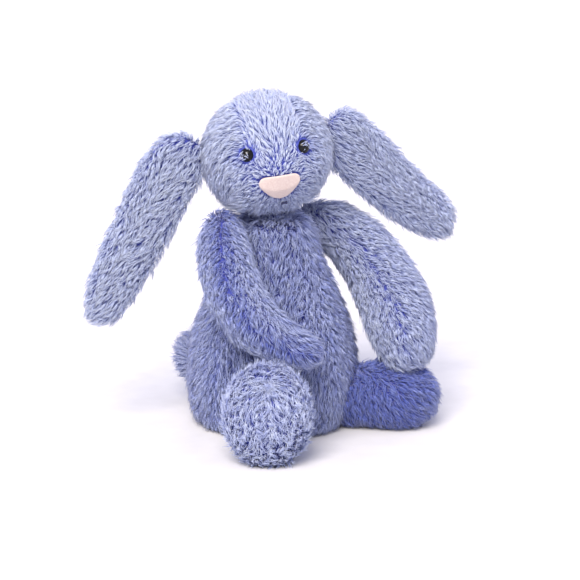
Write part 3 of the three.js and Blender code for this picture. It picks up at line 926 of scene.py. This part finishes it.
def rounded(name, node, voxel, rounds):
    """A CAD node's solid with its edges and facets worn round."""
    ob = bpy.data.objects.new(name, frame["nodes"][node].data.copy())
    bpy.context.scene.collection.objects.link(ob)
    ob.data.materials.clear()
    remesh = ob.modifiers.new("fine", "REMESH")
    remesh.mode = "VOXEL"
    remesh.voxel_size = voxel
    smooth = ob.modifiers.new("round", "SMOOTH")
    smooth.iterations = rounds
    apply_modifiers(ob)
    ob.data.shade_smooth()
    return ob


NOSE_VOXEL = 0.35 * MM
NOSE_ROUNDS = 14
nose = rounded("nose_pad", "nose_patch", NOSE_VOXEL, NOSE_ROUNDS)
nose.data.materials.append(suedette)
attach(nose, "head")
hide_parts("nose_patch")
print("nose pad:", len(nose.data.vertices), "vertices")

# %% Mouth thread
thread_material, tree, surface = new_material("mercerised_cotton_thread")
where = add_node(tree, "TexCoord")
fibres = add_node(tree, "TexNoise", _0=where.outputs["Object"], Scale=1 / (0.2 * MM))
inky = ramp(tree, fibres.outputs["Fac"], [(0.3, 0x14183A), (0.7, 0x2A3060)])
shader = add_node(tree, "BsdfPrincipled", Base_Color=inky, Roughness=0.55, Sheen_Weight=0.2)
tree.links.new(shader.outputs["BSDF"], surface)

SPINE_POINTS = 8  # along the frame's stitch
SPINE_REACH = 0.6 * MM  # each is the middle of what lies this near
PLY_RADIUS = 0.34 * MM
PLY_STEPS = 40
TWISTS = 2  # turns that the plies make about each other

stitch = coordinates(frame["nodes"]["mouth_stitch"].data)
stitch_middle = stitch.mean(axis=0)
long_way = np.linalg.eigh(np.cov((stitch - stitch_middle).T))[1][:, 2]
share = (stitch - stitch_middle) @ long_way
stations = np.linspace(share.min(), share.max(), SPINE_POINTS)
spine = np.array([stitch[np.abs(share - s) < SPINE_REACH].mean(axis=0) for s in stations])
upright = np.array([0, 0, 1])
around = np.cross(long_way, upright)
plies = bpy.data.curves.new("mouth_thread", "CURVE")
plies.dimensions = "3D"
plies.bevel_depth = PLY_RADIUS
plies.bevel_resolution = 3
plies.use_fill_caps = True
for ply in range(2):
    spline = plies.splines.new("POLY")
    spline.points.add(PLY_STEPS - 1)
    for k in range(PLY_STEPS):
        t = k / (PLY_STEPS - 1)
        place = [np.interp(t * (SPINE_POINTS - 1), range(SPINE_POINTS), spine[:, i]) for i in range(3)]
        angle = t * 2 * math.pi * TWISTS + ply * math.pi
        offset = PLY_RADIUS * 0.9 * (upright * math.cos(angle) + around * math.sin(angle))
        spline.points[k].co = (*(np.array(place) + offset), 1)
curve_ob = bpy.data.objects.new("mouth_thread", plies)
bpy.context.scene.collection.objects.link(curve_ob)
graph = bpy.context.evaluated_depsgraph_get()
graph.update()
mesh = bpy.data.meshes.new_from_object(curve_ob.evaluated_get(graph))
bpy.data.objects.remove(curve_ob)
thread = bpy.data.objects.new("mouth_thread", mesh)
bpy.context.scene.collection.objects.link(thread)
mesh.materials.clear()
mesh.materials.append(thread_material)
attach(thread, "head")
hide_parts("mouth_stitch")
print("mouth thread:", len(mesh.vertices), "vertices")

# %% Gathered neck
PLEATS = 14
PLEAT_DEPTH = 0.16  # of the roll's own radius
PLEAT_STEPS = 8  # faces round each pleat
ROLL_STEPS = 12
COLLAR_LENGTH = 4.6 * MM
neck_low, neck_high = (np.array(v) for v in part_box("neck_gather"))
neck_out = (neck_high[0] - neck_low[0]) / 2
neck_half = (neck_high[2] - neck_low[2]) / 2
neck_mid = (neck_low + neck_high) / 2
ring_radius = neck_out - neck_half
around_steps = PLEATS * PLEAT_STEPS
vertices, faces = [], []
for i in range(around_steps):
    a = 2 * math.pi * i / around_steps
    roll = neck_half * (1 - PLEAT_DEPTH * (1 - math.cos(PLEATS * a)) / 2)
    row = i * ROLL_STEPS
    next_row = (i + 1) % around_steps * ROLL_STEPS
    for j in range(ROLL_STEPS):
        b = 2 * math.pi * j / ROLL_STEPS
        r = ring_radius + roll * math.cos(b)
        vertices.append(Vector(neck_mid) + Vector((r * math.cos(a), r * math.sin(a), roll * math.sin(b))))
        k = (j + 1) % ROLL_STEPS
        faces.append((row + j, next_row + j, next_row + k, row + k))
neck_mesh = bpy.data.meshes.new("neck_pleats")
neck_mesh.from_pydata(vertices, [], faces)
neck_mesh.shade_smooth()
neck_mesh.materials.append(cloth_material)
neck_ob = bpy.data.objects.new("neck_pleats", neck_mesh)
bpy.context.scene.collection.objects.link(neck_ob)

downwards = np.tile([0.0, 0.0, -1.0], (len(vertices), 1))
at, normal, along = scatter(neck_mesh, downwards, DENSITY)
from_middle = (at - neck_mid) * [1, 1, 0]
outside = np.sum(unit(from_middle) * normal, axis=1) > 0
at, normal, along = at[outside], normal[outside], along[outside]
count = len(at)
grown_so = [np.full(count, value) for value in (COLLAR_LENGTH, BAG_PAINTED_LIGHT_AND_SHADE["torso"], 1.0)]
bend, tip, dye = strands(at, normal, along, *grown_so)
neck_pile = mesh_piece("neck_gather_pile", [spike_block(at, normal, tip, dye, GUARD_WIDTH, bend)])
neck_pile.data.materials.append(pile_material)
for piece in (neck_ob, neck_pile):
    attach(piece, "neck")
    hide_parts("neck_gather")
print(f"{neck_pile.name}: {len(neck_pile.data.polygons)} faces")

# %% Seat
seat_low, seat_high = (np.array(v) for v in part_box("torso_base_panel"))
seat_radius = (seat_high[0] - seat_low[0]) / 2
seat_thick = seat_high[2] - seat_low[2]
seat_profile = [(0, GROUND_GAP), (seat_radius * 0.98, GROUND_GAP), (seat_radius, 0.4 * seat_thick)]
seat_profile += [(seat_radius * 0.97, seat_thick), (0, seat_thick)]
seat_at, seat_up = (0, 0, 0), (0, 0, 1)
base = "torso_base_panel"
turned("torso_base_cloth", "torso", base, cloth_material, seat_at, seat_up, seat_profile)
print(f"seat: radius {seat_radius / MM:.1f} mm")
